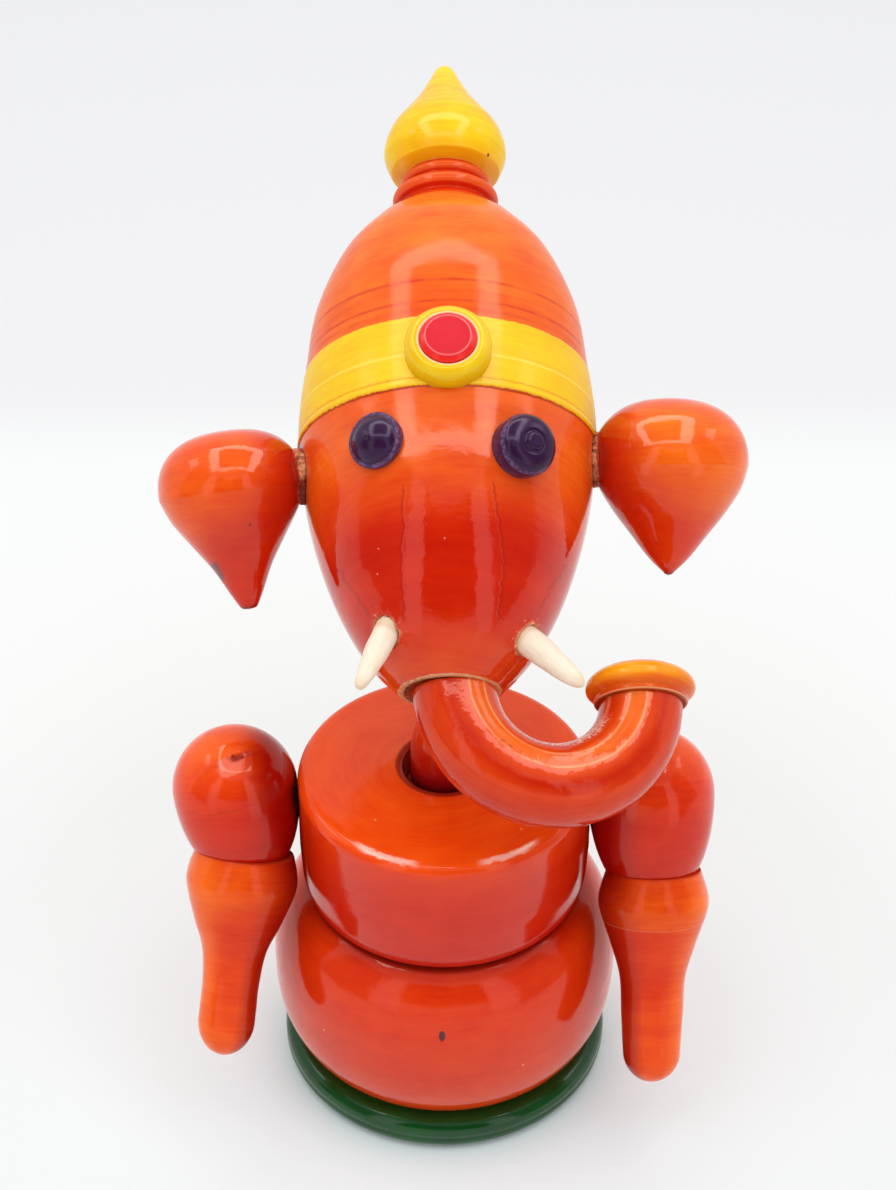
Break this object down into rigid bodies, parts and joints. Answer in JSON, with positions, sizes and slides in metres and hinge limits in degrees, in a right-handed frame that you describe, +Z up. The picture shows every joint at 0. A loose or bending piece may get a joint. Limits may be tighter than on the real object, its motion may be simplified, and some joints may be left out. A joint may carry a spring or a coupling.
{
  "type": "ganesha figure",
  "caption": "Elephant-headed figure of turned, lacquered wood: barrel body on a round foot, egg-shaped head tipped back under a pointed finial, curled trunk, drop ears, club arms.",
  "frame": {"origin": "centre of the base's underside", "axes": "+Z up, the face towards -Y, the trunk turning towards +X"},
  "size_m": [0.093, 0.1164, 0.1448],
  "materials": {
    "green_lacquer": "glossy turned lacquer with fine lathe lines",
    "red_lacquer": "glossy turned lacquer with fine lathe lines",
    "orange_lacquer": "glossy turned lacquer with fine lathe lines",
    "yellow_lacquer": "glossy turned lacquer with fine lathe lines",
    "crimson_lacquer": "glossy turned lacquer with fine lathe lines",
    "purple_lacquer": "glossy turned lacquer with fine lathe lines",
    "amber_lacquer": "glossy turned lacquer with fine lathe lines",
    "bare_wood": "bare sanded wood"
  },
  "bodies": {
    "root": {"base": "green_lacquer", "body": "red_lacquer", "neck_peg": "red_lacquer", "head": "orange_lacquer", "forehead_disc": "yellow_lacquer", "forehead_stud": "crimson_lacquer", "eye_left": "purple_lacquer", "eye_right": "purple_lacquer", "ear_left": "orange_lacquer", "ear_right": "orange_lacquer", "tusk_left": "bare_wood", "tusk_right": "bare_wood", "trunk": "red_lacquer", "trunk_cup": "amber_lacquer", "shoulder_left": "red_lacquer", "shoulder_right": "red_lacquer", "forearm_left": "orange_lacquer", "forearm_right": "orange_lacquer"}
  },
  "joints": []
}
